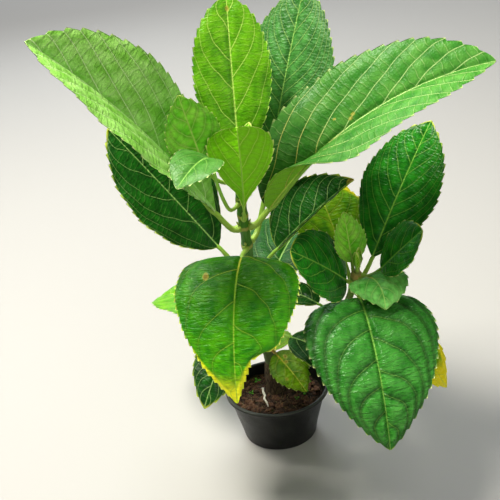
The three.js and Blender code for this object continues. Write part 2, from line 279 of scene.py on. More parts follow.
leaves = [
    dict(name="leaf_low_right", stem=mainStem, at=0.165, bearing=-40, stalk=24, length=70, width=48,
         rise=5, lift=30, arch=45, look="dark"),
    dict(name="leaf_low_left", stem=mainStem, at=0.165, bearing=140, stalk=28, length=108, width=72,
         rise=14, lift=25, arch=55, look="lit"),
    dict(name="leaf_low_front", stem=mainStem, at=0.295, bearing=-123, stalk=22, length=78, width=50,
         rise=-8, lift=40, arch=45, look="dark"),
    dict(name="leaf_low_back", stem=mainStem, at=0.295, bearing=62, stalk=30, length=124, width=84,
         rise=24, lift=20, arch=55, look="dark"),
    dict(name="leaf_dark_left", stem=mainStem, at=0.525, bearing=170, stalk=30, length=128, width=88,
         rise=56, lift=-2, arch=8, turn=-14, roll=-20, fold=15, base=0.75, look="dark", veins=5, sweep=0.75),
    dict(name="leaf_dark_right", stem=mainStem, at=0.525, bearing=0, stalk=24, length=84, width=66,
         rise=46, lift=2, arch=12, roll=12, fold=25, cup=20, look="dark",
         marks=((0.97, 0.0, 3.0),)),
    dict(name="leaf_front", stem=mainStem, at=0.64, bearing=-104, stalk=16, length=120, width=97,
         rise=2, lift=25, arch=78, late=0.7, turn=10, fold=4, cup=-15, base=0.3, point=0.9, pinch=0.5,
         look="bright", veins=4, slant=0.75, sweep=0.45, teeth=5.5, puff=1.4, marks=((0.2, 0.5, 2.3),)),
    dict(name="leaf_back_right", stem=mainStem, at=0.64, bearing=52, stalk=52, length=158, width=92,
         rise=66, lift=-10, arch=8, base=0.8, look="matt", veins=13, slant=1.2, puff=1.1),
    dict(name="leaf_big_left", stem=mainStem, at=0.73, bearing=-162, stalk=26, length=185, width=98,
         rise=63, lift=-14, arch=20, roll=-36, fold=31, base=1.1,
         look="waxySheen", veins=7, slant=2.4, sweep=0.05, rungs=6.5, teeth=9),
    dict(name="leaf_big_right", stem=mainStem, at=0.73, bearing=-3, stalk=22, length=198, width=92,
         rise=52, lift=-8, arch=44, turn=-6, roll=28, fold=29, closed=48, point=0.7,
         look="waxyRight", veins=7, slant=2.4, sweep=0.05, rungs=6.5, teeth=9,
         marks=((0.42, -0.24, 0.2), (0.47, -0.09, 0.8), (0.485, -0.13, 0.7))),
    dict(name="leaf_back_middle", stem=mainStem, at=0.785, bearing=86, stalk=48, length=118, width=62,
         rise=73, lift=-12, arch=8, point=0.55, look="lit", veins=5, slant=1.5, puff=0.8,
         marks=((0.93, 0.0, 1.2),)),
    dict(name="leaf_cupped", stem=mainStem, at=0.785, bearing=-84, stalk=14, length=74, width=50,
         rise=62, arch=-42, roll=-12, fold=16, closed=20, base=1.5, point=0.42, look="youngLit",
         veins=5, slant=1.4, puff=1.2, teeth=6, sunk=0.6),
    dict(name="leaf_young_back", stem=mainStem, at=0.95, bearing=-158, stalk=32, length=54, width=42,
         rise=78, lift=-60, arch=0, roll=-95, fold=14, look="plain", veins=5, puff=0.6, teeth=5),
    dict(name="leaf_young_left", stem=mainStem, at=0.85, bearing=-121, stalk=63, length=44, width=38,
         rise=86, lift=-34, arch=120, late=0.3, turn=-10, roll=-10, fold=12, look="pale", veins=4,
         puff=0.4, teeth=5),
    dict(name="leaf_young_right", stem=mainStem, at=0.98, bearing=60, stalk=6, length=30, width=20,
         rise=60, lift=-10, arch=10, look="youngLit", veins=4, puff=0.4, teeth=4),
    dict(name="shoot_leaf_low_right", stem=shoot, at=0.62, bearing=-38, stalk=26, length=80, width=60,
         rise=0, lift=30, arch=60, look="yellowing"),
    dict(name="shoot_leaf_low_left", stem=shoot, at=0.62, bearing=140, stalk=18, length=50, width=34,
         rise=15, lift=25, arch=40, look="dark", veins=4),
    dict(name="shoot_leaf_front", stem=shoot, at=0.9, bearing=-86, stalk=18, length=124, width=103,
         rise=4, lift=30, arch=76, late=0.6, fold=5, cup=-10, base=0.33, point=0.85,
         slant=0.6, sweep=0.6, rungs=5, puff=2.8),
    dict(name="shoot_leaf_back", stem=shoot, at=0.9, bearing=100, stalk=24, length=98, width=68,
         rise=36, lift=10, arch=30, look="yellowing"),
    dict(name="shoot_leaf_right", stem=shoot, at=0.94, bearing=32, stalk=22, length=118, width=72,
         rise=61, lift=-20, arch=8, roll=10, base=0.9, look="glossy", veins=9, slant=1.2, puff=1.4),
    dict(name="shoot_leaf_left", stem=shoot, at=0.94, bearing=-160, stalk=4, length=64, width=62,
         rise=46, arch=10, roll=-40, base=0.45, point=0.6, look="glossy", veins=5),
    dict(name="shoot_leaf_small", stem=shoot, at=0.98, bearing=-60, stalk=10, length=39, width=50,
         rise=34, lift=18, arch=90, late=0.8, turn=-35, point=1.0, look="small", veins=4, puff=0.5, teeth=5),
    dict(name="shoot_leaf_upright", stem=shoot, at=0.98, bearing=105, stalk=8, length=42, width=30,
         rise=74, arch=8, fold=20, look="plain", veins=5, puff=0.8, teeth=4),
    dict(name="shoot_leaf_young", stem=shoot, at=0.99, bearing=-25, stalk=18, length=50, width=48,
         rise=53, lift=-35, arch=5, roll=26, point=0.6, look="glossy", veins=4, teeth=6),
    dict(name="old_leaf_front", stem=mainStem, at=0.085, bearing=-58, stalk=6, length=46, width=34,
         rise=-12, lift=12, arch=20, roll=15, look="olive", veins=4, puff=0.4, teeth=5,
         marks=((0.2, -0.3, 1.4), (0.3, -0.12, 1.1), (0.6, 0.5, 0.8))),
    dict(name="old_leaf_back", stem=trunk, at=0.8, bearing=75, stalk=14, length=40, width=28,
         rise=5, lift=25, arch=30, look="olive", veins=4, puff=0.4, teeth=5, marks=((0.5, 0.3, 1.2),)),
]
for stem in (trunk, mainStem, shoot):
    stem["nodes"] = sorted({leaf["at"] for leaf in leaves if leaf["stem"] is stem and stem is not trunk})
    stem["reach"] = np.linalg.norm(np.subtract(stem["tip"], stem["foot"])) / swelling["long"]

stalkSteps, bladeSteps = 40, 160


# Points and directions along the stalk and then the blade, each step the same length.
def centreLine(leaf):
    bearing = math.radians(leaf["bearing"])
    stem, at = leaf["stem"], leaf["at"]
    start = acrossStem(stem, at, bearing)
    point = stemPoint(stem, at) + start * (stemRadius(stem, at) + leaf["clear"])
    points, runs, courses = [], [], []
    for i in range(stalkSteps + bladeSteps + 1):
        k = min(1, i / stalkSteps)
        s = max(0, (i - stalkSteps) / bladeSteps)
        rise = math.radians(leaf["rise"] + leaf["lift"] * (1 - k) - leaf["arch"] * s ** leaf["late"])
        course = bearing + math.radians(leaf["turn"] * s)
        outward = math.cos(rise)
        run = np.array((outward * math.cos(course), outward * math.sin(course), math.sin(rise)))
        if i < stalkSteps:
            run = unit(start + (run - start) * smoothStep(k / 0.3))
        points.append(point.copy())
        runs.append(run)
        courses.append(course)
        point += run * (leaf["stalk"] / stalkSteps if i < stalkSteps else leaf["length"] / bladeSteps)
    return np.array(points), np.array(runs), np.array(courses)


def turnAbout(vectors, axes, angle):
    angle = np.asarray(angle)[..., None]
    along = (vectors * axes).sum(-1, keepdims=True)
    level = vectors * np.cos(angle) + np.cross(axes, vectors) * np.sin(angle)
    return level + axes * along * (1 - np.cos(angle))


# Reads a row of points or directions at places between its steps.
def readAlong(values, places):
    steps = np.arange(len(values))
    return np.stack([np.interp(places, steps, values[:, c]) for c in range(3)], -1)


def outline(leaf, s):
    m = leaf["base"] / (leaf["base"] + leaf["point"])
    return (s / m) ** leaf["base"] * ((1 - s) / (1 - m)) ** leaf["point"]


bladeLook = {
    "thick": 0.45,
    "sink": 1.3,  # how far a stalk runs back into its stem, past the start of its solid
    "columnGap": 1.1,
    "toothRows": 7,  # the last row of a tooth is its point
    "toothDeep": (1.0, 0.006),  # one millimetre, and a little for each millimetre of the leaf's length
    "hook": 0.9,  # how far a tooth's point leans towards the tip
    "wave": 1.1,  # how far the margin wanders up and down
    "sunkRib": 0.35,  # how deep the blade dips over the midrib
    "ribRows": 90,
    "ribSides": 16,
}


# How many millimetres lie between one line and the next, where number grows by one a line.
def lineGap(number, along, across):
    sideways = np.gradient(number, axis=1) / np.gradient(across, axis=1)
    onwards = np.gradient(number, axis=0) - sideways * np.gradient(across, axis=0)
    return 1 / np.maximum(np.hypot(onwards / np.gradient(along, axis=0), sideways), 0.02)


def makeLeaf(choice, number):
    leaf = {**usual, **choice}
    dice = random.Random(100 + number)
    points, runs, courses = centreLine(leaf)
    length, width = leaf["length"], leaf["width"]
    teeth = round(length / leaf["teeth"])
    rows = teeth * bladeLook["toothRows"] + 1
    halfColumns = max(8, round(width / 2 / bladeLook["columnGap"]))
    s = np.minimum(np.linspace(0, 1, rows), 0.9995)
    line = stalkSteps + s * bladeSteps
    steps = np.arange(len(points))
    centre = readAlong(points, line)
    run = unit(readAlong(runs, line))
    course = np.interp(line, steps, courses)
    level = np.stack([np.sin(course), -np.cos(course), np.zeros(rows)], -1)
    side = turnAbout(level, run, np.full(rows, math.radians(leaf["roll"])))
    up = np.cross(side, run)

    half01 = np.concatenate([[0, 0.012], np.linspace(0, 1, halfColumns + 1)[1:]])
    t = np.concatenate([-half01[:0:-1], half01])
    columns = len(t)
    S, T = np.meshgrid(s, t, indexing="ij")
    U = np.abs(T)
    half = np.maximum(0.5 * width * outline(leaf, np.maximum(S, 1e-4)), 0.8)
    half = half * np.where(T < 0, 1 - leaf["pinch"] * smoothStep((S - 0.64) / 0.1), 1)
    # teeth: a long edge out, then straight back in behind the point, which leans towards the tip
    phase = np.arange(rows)[:, None] % bladeLook["toothRows"] / (bladeLook["toothRows"] - 1) + 0 * S
    tooth = phase ** 0.85
    deep = bladeLook["toothDeep"][0] + bladeLook["toothDeep"][1] * length
    notch = np.minimum(deep / half, 0.3) * (1 - tooth) * smoothStep(S / 0.1)
    edge = smoothStep((U - 0.82) / 0.18)
    reach = half * (U - notch * edge)
    share = reach / half
    fold = np.radians(leaf["fold"] + leaf["closed"] * (1 - smoothStep((S - 0.1) / 0.35)))
    cup = math.radians(leaf["cup"])
    slope = fold + cup * share
    out = (np.sin(slope) - np.sin(fold)) / cup
    height = (np.cos(fold) - np.cos(slope)) / cup
    turned = np.where(T < 0, -1.0, 1.0)
    sides, ups = side[:, None, :], up[:, None, :]
    middle = centre[:, None, :] + sides * (turned * half * out)[..., None] + ups * (half * height)[..., None]
    hook = bladeLook["hook"] * tooth ** 3 * edge ** 2 * smoothStep((0.97 - S) / 0.05)
    middle += run[:, None, :] * hook[..., None]
    tilt = np.where(U < 1e-6, 0, slope)
    normal = -sides * (turned * np.sin(tilt))[..., None] + ups * np.cos(tilt)[..., None]

    # side veins leave the midrib slanting, not quite evenly spaced, and sweep round towards the tip
    # before they reach the margin; small veins run across from one to the next, like rungs, and start
    # afresh in each panel
    along, across = S * length, turned * reach
    bend = leaf["slant"] * reach / length + leaf["sweep"] * width / length * share ** 4
    wander = 0.016 * leaf["veins"] * np.sin(S * 14 + 1.7 * number)
    wander = wander + 0.02 * np.sin(S * 41 - T * 7)
    veinNumber = leaf["veins"] * (S - bend * S / (S + 0.1)) + wander
    veinGap = lineGap(veinNumber, along, across)
    veinNumber = veinNumber + np.where(T < 0, 0, dice.uniform(0.3, 0.6)) + 1
    places = np.stack([along, across, np.full_like(S, 9.0 * number)], -1).reshape(-1, 3)
    wobble = hills(places, 21, 300 + number).reshape(S.shape) + 0.5 * hills(places, 9, 400).reshape(S.shape)
    rungNumber = (along + 0.25 * reach + 1.5 * wobble) / leaf["rungs"] + 30
    rungGap = lineGap(rungNumber, along, across)
    shifted = rungNumber + 0.618 * np.floor(veinNumber)
    veinFar = np.abs(veinNumber - np.round(veinNumber)) * veinGap
    rungFar = np.abs(shifted - np.round(shifted)) * rungGap
    fade = smoothStep(reach / 4) * smoothStep((1 - share) / 0.3) * smoothStep((1 - S) / 0.08)
    fade *= smoothStep(S / 0.1)  # flat at the foot, where the leaves of one node lie close together
    relief = leaf["puff"] * (1 - np.exp(-veinFar / 3.0) + 0.22 * (1 - np.exp(-rungFar / 1.2))) * fade
    relief -= bladeLook["sunkRib"] * np.exp(-(reach / 1.8) ** 2) * smoothStep((1 - S) / 0.3)
    waves = [np.sin(S * dice.uniform(2.5, 4.5) * 6.3 + dice.uniform(0, 6.3)) for _ in range(2)]
    wave = np.where(T < 0, *waves)
    relief += bladeLook["wave"] * min(1, width / 70) * wave * share ** 3 * smoothStep(S / 0.2) * 0.8
    # flatter where the two halves are folded close together
    relief *= np.clip(1.6 * np.cos(slope), 0, 1)
    thick = bladeLook["thick"] * np.where(U > 0.97, 0.6, 1.0)
    upper = middle + normal * (relief + thick / 2)[..., None]
    lower = middle + normal * (relief - thick / 2)[..., None]

    # the stalk, run on under the blade as the midrib
    wide = 0.86 * (0.9 + 0.008 * length)
    ribRows, sidesCount = bladeLook["ribRows"], bladeLook["ribSides"]
    total = leaf["stalk"] + length
    far = np.linspace(-bladeLook["sink"], leaf["stalk"] + 0.97 * length, ribRows)
    index = np.where(far < leaf["stalk"], far / leaf["stalk"] * stalkSteps,
                     stalkSteps + (far - leaf["stalk"]) / length * bladeSteps)
    ribCentre = readAlong(points, index)
    ribCentre[far < 0] += runs[0] * far[far < 0][:, None]
    ribRun = unit(readAlong(runs, index))
    ribCourse = np.interp(index, steps, courses)
    ribSide = np.stack([np.sin(ribCourse), -np.cos(ribCourse), np.zeros(ribRows)], -1)
    ribSide = unit(ribSide - ribRun * (ribSide * ribRun).sum(1, keepdims=True))
    ribSide = turnAbout(ribSide, ribRun, math.radians(leaf["roll"]) * smoothStep(far / leaf["stalk"]))
    ribUp = np.cross(ribSide, ribRun)
    onBlade = np.clip((far - leaf["stalk"]) / length, 0, 1)
    ribWide = wide * (1.2 - 0.3 * np.clip(far / leaf["stalk"], 0, 1)) * (1 - onBlade) ** 0.8 + 0.22
    ribWide *= 1 + 0.3 * np.exp(-(np.maximum(far, 0) / 2.5) ** 2)
    ribWide *= 1 - leaf["sunk"] * smoothStep((far - leaf["stalk"] + 6) / 12)
    angle = circle(sidesCount)
    groove = 1 - 0.22 * np.exp(-((angle - math.pi / 2) / 0.5) ** 2)
    under = smoothStep((far - leaf["stalk"] + 3) / 8) * (ribWide + 0.35)
    ring = ringOn(angle, ribSide[:, None, :], ribUp[:, None, :])
    ring = ring * (ribWide[:, None] * groove)[..., None]
    stalkPoints = (ribCentre - ribUp * under[:, None])[:, None, :] + ring

    # the upper and the lower side, then the strips that join them round the rim
    count = rows * columns
    faces = [gridFaces(rows, columns, False)[:, ::-1], gridFaces(rows, columns, False, count)]
    i = np.arange(rows - 1) * columns
    last = i + columns - 1
    faces.append(np.stack([i, i + columns, i + columns + count, i + count], -1))
    faces.append(np.stack([last, last + count, last + columns + count, last + columns], -1))
    j = np.arange(columns - 1)
    faces.append(np.stack([j, j + count, j + 1 + count, j + 1], -1)[:, ::-1])
    j = j + (rows - 1) * columns
    faces.append(np.stack([j, j + 1, j + 1 + count, j + count], -1)[:, ::-1])
    bladeFaces = np.concatenate(faces)
    stalkFaces = [face[::-1] for face in barFaces(ribRows, sidesCount, 2 * count)]
    allFaces = bladeFaces.tolist() + stalkFaces
    allPoints = np.concatenate([upper.reshape(-1, 3), lower.reshape(-1, 3), stalkPoints.reshape(-1, 3)])

    # where each point lies on the leaf, for the patterns
    mark = np.full_like(S, 9.0)
    for markS, markT, size in leaf["marks"]:
        markAcross = markT * 0.5 * width * outline(leaf, markS)
        mark = np.minimum(mark, np.hypot(along - markS * length, (across - markAcross) * 1.4) - size)
    glow = tooth ** 8 * smoothStep((U - 0.965) / 0.03)
    blade = {
        "flat": (along, across, (1 - share) * half),
        "ribs": (veinNumber, veinGap, reach),
        "rungs": (rungNumber, rungGap, mark),
        "spot": (S, np.zeros_like(S), glow),
    }
    fields = {name: np.stack(parts, -1).reshape(-1, 3) for name, parts in blade.items()}
    stalk = {name: np.zeros((ribRows * sidesCount, 3)) for name in blade}
    stalk["flat"][:, 0] = np.repeat(far, sidesCount)
    stalk["flat"][:, 1] = np.tile(angle, ribRows) * wide
    stalk["spot"][:, 0] = np.repeat(far / total, sidesCount)
    lowerFields = {**fields, "spot": fields["spot"] + (0, 1, 0)}
    fields = {name: np.concatenate([fields[name], lowerFields[name], stalk[name]]) for name in blade}
    uvUpper = np.stack([0.01 + 0.225 * (T + 1), 0.01 + 0.98 * S], -1).reshape(-1, 2)
    uvStalk = np.stack([np.tile(0.95 + 0.045 * angle / 6.3, ribRows),
                        np.repeat(0.01 + 0.98 * np.linspace(0, 1, ribRows), sidesCount)], -1)
    uv = np.concatenate([uvUpper, uvUpper + (0.47, 0), uvStalk])
    stalkMaterial = stalkMaterials["amber" if leaf["look"] == "olive" else "green"]
    materials = [bladeMaterials[leaf["look"]], stalkMaterial]
    kinds = [0] * len(bladeFaces) + [1] * len(stalkFaces)
    return makePiece(leaf["name"] + "_blade", allPoints, allFaces, materials, fields, uv, kinds)


# A living leaf: green tissue under a clear wax skin. The wax gives a soft gloss, and the sunk veins
# and the puffed cells between them break it up. Veins are 0.2 to 0.5 mm wide on a real leaf and are
# drawn up to 1.2 mm wide, so that they show at this size.
# base, light: the green and its paler patches; foot: how much painted shade darkens it towards the stalk
# vein, margin, under: veins, thin rim and underside
# show: how plainly the side veins show at the midrib and at the margin; net: the same for small veins
# edge: how wide the rim is, in millimetres; amber: how orange the midrib's foot is
# tip: the colour that comes in from the tip, and how far along the leaf it begins
# groove, rungDeep, creases: how deep the side veins, the small veins and the wrinkles across it lie; groove
# also sets how dark the painted shade beside the side veins is
usualLook = {
    "under": "#5f9a34", "foot": 0.2, "rough": 0.38, "net": 0.2, "groove": 0.5, "rungDeep": 0.3,
    "edge": 0.9, "tip": None, "amber": 0, "creases": 0.4,
}
bladeLooks = {
    "deep": dict(base="#2a7420", light="#469636", vein="#7fb848", margin="#9cc838", foot=0.3,
                 rough=0.27, show=(0.5, 0.08), groove=1.0, rungDeep=0.45, edge=0.8, creases=0.9),
    "dark": dict(base="#0c4006", light="#185c0e", vein="#94bc66", margin="#b0c830", under="#3f7a1c",
                 rough=0.42, show=(0.65, 0.35), groove=0.6, edge=2.0, tip=("#b8b428", 1.14)),
    "glossy": dict(base="#126010", light="#2a8c1c", vein="#8cc44c", margin="#b4c850", foot=0.3,
                   rough=0.3, show=(0.6, 0.3), groove=0.55, edge=1.3, tip=("#d4d038", 1.12),
                   creases=0.45),
    "plain": dict(base="#70d424", light="#a0ec48", vein="#bce468", margin="#d4ee6a", under="#74b034",
                  foot=0.1, rough=0.36, show=(0.6, 0.24), net=0.3, rungDeep=0.4, edge=1.0, creases=0.5),
    "bright": dict(base="#2a8a04", light="#54b406", vein="#a0cc38", margin="#dcee28", under="#70ab2c",
                   foot=1.0, show=(0.7, 0.24), edge=1.7, tip=("#ffff28", 0.88), amber=0.45,
                   creases=1.1),
    "matt": dict(base="#2c6822", light="#4a8c3c", vein="#8cba58", margin="#a4c85c", under="#6c9f46",
                 foot=0.3, rough=0.42, show=(0.7, 0.49), net=0.3, groove=0.6),
    # waxy: its pale greens are partly a painted sheen, the sky's reflection in the wax
    "waxySheen": dict(base="#76b83e", light="#a0d86c", vein="#dcf6b4", margin="#cce48c", under="#86c058",
                 foot=0.0, rough=0.34, show=(0.75, 0.75), net=0.4, groove=0.22, rungDeep=0.35, edge=0.8,
                 amber=0.2),
    "waxyRight": dict(base="#337c20", light="#58983a", vein="#c4e490", margin="#b0d468",
                      under="#78b42a", foot=0.9, rough=0.42, show=(0.8, 0.72), net=0.38, groove=0.25,
                      rungDeep=0.35, edge=0.8, amber=1),
    "lit": dict(base="#4c9006", light="#6cb012", vein="#c4e868", margin="#bce44c", under="#8cc83a",
                foot=0.1, show=(0.75, 0.45), net=0.35, groove=0.25, rungDeep=0.15, creases=0.25),
    # young: lime partly painted light shining through the thin blade; its wide pale rim is partly a painted
    # highlight on the lit edge
    "youngLit": dict(base="#5eac06", light="#80cc10", vein="#b4dc50", margin="#e2f47c", under="#7ac80a",
                  rough=0.36, show=(0.8, 0.4), net=0.3, groove=0.25, edge=1.6, creases=0.3),
    "pale": dict(base="#3e7a26", light="#5a9440", vein="#8cc058", margin="#c0dc88", under="#7cbc48",
                 show=(0.45, 0.18), groove=0.3, rungDeep=0.1, creases=0.12),
    "small": dict(base="#4aa436", light="#80d064", vein="#9ccc64", margin="#a8d058", foot=0.5,
                  rough=0.32, show=(0.5, 0.15), edge=0.7, amber=0.6, creases=0.5),
    "yellowing": dict(base="#5aa406", light="#94c810", vein="#d0e244", margin="#f8ee1c",
                      under="#86b42a", foot=0.1, rough=0.4, show=(0.6, 0.36), net=0.3, rungDeep=0.5,
                      edge=2.4, tip=("#f8e81a", 0.76), creases=0.5),
    "olive": dict(base="#4c8004", light="#7aa808", vein="#b4bc3c", margin="#8f9a24", under="#7c8c30",
                  rough=0.4, show=(0.5, 0.15), rungDeep=0.4, edge=0.8, amber=0.6, creases=0.5),
}
bladeMaterials, stalkMaterials = {}, {}


def makeBladeMaterial(name, look):
    material, add = newMaterial("leaf_" + name)
    fields = ("flat", "ribs", "rungs", "spot")
    flat, ribs, rungs, spot = (add("Attribute", {"attribute_name": name})["Vector"] for name in fields)
    toMargin = add("SeparateXYZ", {0: flat})[2]
    veinNumber, veinGap, toMidrib = add("SeparateXYZ", {0: ribs})
    rungNumber, rungGap, toMark = add("SeparateXYZ", {0: rungs})
    along, underside, glow = add("SeparateXYZ", {0: spot})

    # how far a point is from the nearest side vein and from the nearest small vein, in millimetres
    panel = add("Math", {"operation": "FLOOR", 0: veinNumber})[0]
    rungShifted = add("Math", {"operation": "MULTIPLY_ADD", 1: 0.618, 0: panel, 2: rungNumber})[0]
    farFrom = []
    for count, spacing in ((veinNumber, veinGap), (rungShifted, rungGap)):
        part = add("Math", {"operation": "PINGPONG", 1: 0.5, 0: count})[0]
        farFrom.append(add("Math", {"operation": "MULTIPLY", 0: part, 1: spacing})[0])
    veinFar, rungFar = farFrom
    veinWide = add("MapRange", {"From Max": 45.0, "To Min": 0.6, "To Max": 0.3, "Value": toMidrib})[0]
    veinLine = add("MapRange", {**eased, "To Min": 1.0, "To Max": 0.0, "Value": veinFar,
                                "From Max": veinWide})[0]
    rungLine = add("MapRange", {**eased, "From Max": 0.34, "To Min": 1.0, "To Max": 0.0,
                                "Value": rungFar})[0]
    ribWide = add("MapRange", {"To Min": 1.3, "To Max": 0.6, "Value": along})[0]
    midrib = add("MapRange", {**eased, "To Min": 1.0, "To Max": 0.0, "Value": toMidrib,
                              "From Max": ribWide})[0]
    # the side veins grow pale towards the midrib and sink out of sight before the margin
    half = add("Math", {"operation": "ADD", 0: toMidrib, 1: toMargin})[0]
    share = add("Math", {"operation": "DIVIDE", 0: toMidrib, 1: half})[0]
    paling = add("MapRange", {**eased, "From Min": 0.2, "From Max": 0.95, "To Min": look["show"][0],
                              "To Max": look["show"][1], "Value": share})[0]
    veinLine = add("Math", {"operation": "MULTIPLY", 0: veinLine, 1: paling})[0]
    sinking = add("MapRange", {**eased, "From Min": 0.98, "From Max": 0.6, "Value": share})[0]
    # the small veins fade in and out
    warp = add("TexNoise", {"Scale": 0.09, "Detail": 2.0, "Vector": flat})[0]
    shown = add("MapRange", {"From Min": 0.4, "From Max": 0.62, "To Min": 0.15 * look["net"],
                             "To Max": look["net"], "Value": warp})[0]
    rungLine = add("Math", {"operation": "MULTIPLY", 0: rungLine, 1: shown})[0]
    # a net of the finest veins, 2.4 mm a cell
    net = add("TexVoronoi", {"feature": "DISTANCE_TO_EDGE", "voronoi_dimensions": "2D", "Scale": 1 / 2.4,
                             "Vector": flat})["Distance"]

    # the green: broad patches and fine mottling, with painted shade beside the veins, along the small veins
    # and towards the stalk
    patches = add("MapRange", {"From Min": 0.34, "From Max": 0.66, "Value": warp})[0]
    tissue = add("Mix", {6: colour(look["base"]), 7: colour(look["light"]), 0: patches})[2]
    ragged = add("TexNoise", {"Scale": 0.8, "Detail": 3.0, "Vector": flat})[0]
    mottleAndShade = add("MapRange", {"From Min": 0.3, "From Max": 0.7, "To Min": 0.93, "To Max": 1.07,
                              "Value": ragged})[0]
    # painted shade: darker beside the side veins and along the small veins, as if in their grooves
    paintedVeinShade = add("MapRange", {**eased, "From Max": 3.0, "To Min": 1 - 0.5 * look["groove"], "To Max": 1.05,
                              "Value": veinFar})[0]
    paintedCellShade = add("MapRange", {**eased, "From Max": 1.8, "To Min": 0.92, "To Max": 1.03, "Value": rungFar})[0]
    # painted shade: darker towards the stalk
    paintedStalkShade = add("MapRange", {**eased, "From Min": 0.0, "From Max": 0.75,
                                    "To Min": 1 - 0.6 * look["foot"], "To Max": 1.0, "Value": along})[0]
    tissue = add("VectorMath", {"operation": "SCALE", 0: tissue, "Scale": paintedStalkShade})[0]
    tissue = add("Mix", {7: colour(look["under"]), 0: underside, 6: tissue})[2]
    for factor in (paintedVeinShade, paintedCellShade):
        mottleAndShade = add("Math", {"operation": "MULTIPLY", 0: mottleAndShade, 1: factor})[0]
    tissue = add("VectorMath", {"operation": "SCALE", 0: tissue, "Scale": mottleAndShade})[0]
    if look["tip"]:
        reach = add("Math", {"operation": "MULTIPLY_ADD", 1: 0.16, 0: warp, 2: along})[0]
        edgeOn = add("MapRange", {**eased, "From Min": 3.5 * look["edge"], "From Max": 0.0, "To Min": 0.0,
                                  "To Max": 0.22, "Value": toMargin})[0]
        reach = add("Math", {"operation": "ADD", 0: reach, 1: edgeOn})[0]
        yellow = add("MapRange", {**eased, "From Min": look["tip"][1], "From Max": look["tip"][1] + 0.16,
                                  "To Max": 0.96, "Value": reach})[0]
        tissue = add("Mix", {7: colour(look["tip"][0]), 0: yellow, 6: tissue})[2]
    # veins and the thin pale rim over the green, with a pale dot on each tooth
    strong = add("Math", {"operation": "MAXIMUM", 0: veinLine, 1: midrib})[0]
    lines = add("Math", {"operation": "MAXIMUM", 0: rungLine, 1: strong})[0]
    footOn = add("MapRange", {**eased, "From Min": 0.05 + 0.42 * look["amber"],
                              "From Max": 0.02 + 0.2 * look["amber"], "To Max": look["amber"],
                              "Value": along})[0]
    footOn = add("Math", {"operation": "MULTIPLY", 0: strong, 1: footOn})[0]
    veinSkin = add("Mix", {6: colour(look["vein"]), 7: colour("#e0aa34"), 0: footOn})[2]
    skin = add("Mix", {0: lines, 6: tissue, 7: veinSkin})[2]
    rim = add("MapRange", {**eased, "From Min": 0.2, "From Max": look["edge"], "To Min": 0.9, "To Max": 0.0,
                           "Value": toMargin})[0]
    skin = add("Mix", {7: colour(look["margin"]), 0: rim, 6: skin})[2]
    skin = add("Mix", {7: colour("#eef4a8"), 0: glow, 6: skin})[2]
    # blemishes: dry brown, with a yellow halo
    toMark = add("Math", {"operation": "MULTIPLY_ADD", 1: -2.2, 0: ragged, 2: toMark})[0]
    for size, strength, tint in ((0.4, 0.6, "#b8a83c"), (-0.9, 0.6, "#7c5a26")):
        dry = add("MapRange", {**eased, "From Min": size - 0.9, "From Max": size, "To Min": strength,
                               "To Max": 0.0, "Value": toMark})[0]
        skin = add("Mix", {7: colour(tint), 0: dry, 6: skin})[2]

    # wax: a little duller on the veins, duller still underneath
    gloss = add("MapRange", {"From Min": 0.6, "From Max": 1.1, "To Min": look["rough"] + 0.08,
                             "To Max": look["rough"] - 0.02, "Value": mottleAndShade})[0]
    gloss = add("Math", {"operation": "MULTIPLY_ADD", 1: 0.18, 0: underside, 2: gloss})[0]
    gloss = add("Math", {"operation": "MULTIPLY_ADD", 1: 0.1, 0: lines, 2: gloss})[0]
    # grooves up to 0.6 mm deep along the veins, and creases across the leaf about 2.5 mm apart
    height = add("MapRange", {**eased, "From Max": 2.2, "Value": veinFar})[0]
    height = add("Math", {"operation": "MULTIPLY", 0: height, 1: sinking})[0]
    height = add("Math", {"operation": "MULTIPLY", 1: look["groove"], 0: height})[0]
    for distance, wide, deep in ((rungFar, 1.5, look["rungDeep"]), (net, 0.3, 0.12)):
        bit = add("MapRange", {**eased, "From Max": wide, "To Max": deep, "Value": distance})[0]
        height = add("Math", {"operation": "ADD", 0: height, 1: bit})[0]
    drawn = add("VectorMath", {"operation": "MULTIPLY", 1: (0.42, 0.13, 0), 0: flat})[0]
    creases = add("TexNoise", {"noise_dimensions": "2D", "Scale": 1.0, "Detail": 2.0, "Distortion": 0.4,
                               "Vector": drawn})[0]
    height = add("Math", {"operation": "MULTIPLY_ADD", 1: 2.0 * look["creases"], 0: creases, 2: height})[0]
    face = add("Math", {"operation": "MULTIPLY_ADD", 1: -2.0, 2: 1.0, 0: underside})[0]
    height = add("Math", {"operation": "MULTIPLY", 0: height, 1: face})[0]
    bump = add("Bump", {"Strength": 1.0, "Distance": 0.6 * mm, "Height": height})[0]
    wax = add("BsdfPrincipled", {"IOR": 1.45, "Specular IOR Level": 0.22, "Base Color": skin,
                                 "Roughness": gloss, "Normal": bump})
    add("OutputMaterial", {"Surface": wax[0]})
    return material


# Leaf stalks and midribs: a juicy green skin with long fibres and a dull shine.
stalkLooks = {
    "green": dict(foot="#9cbb48", far="#86c038", streak="#5f8f2c"),
    "amber": dict(foot="#b5853a", far="#a9b850", streak="#8c7a34"),
}


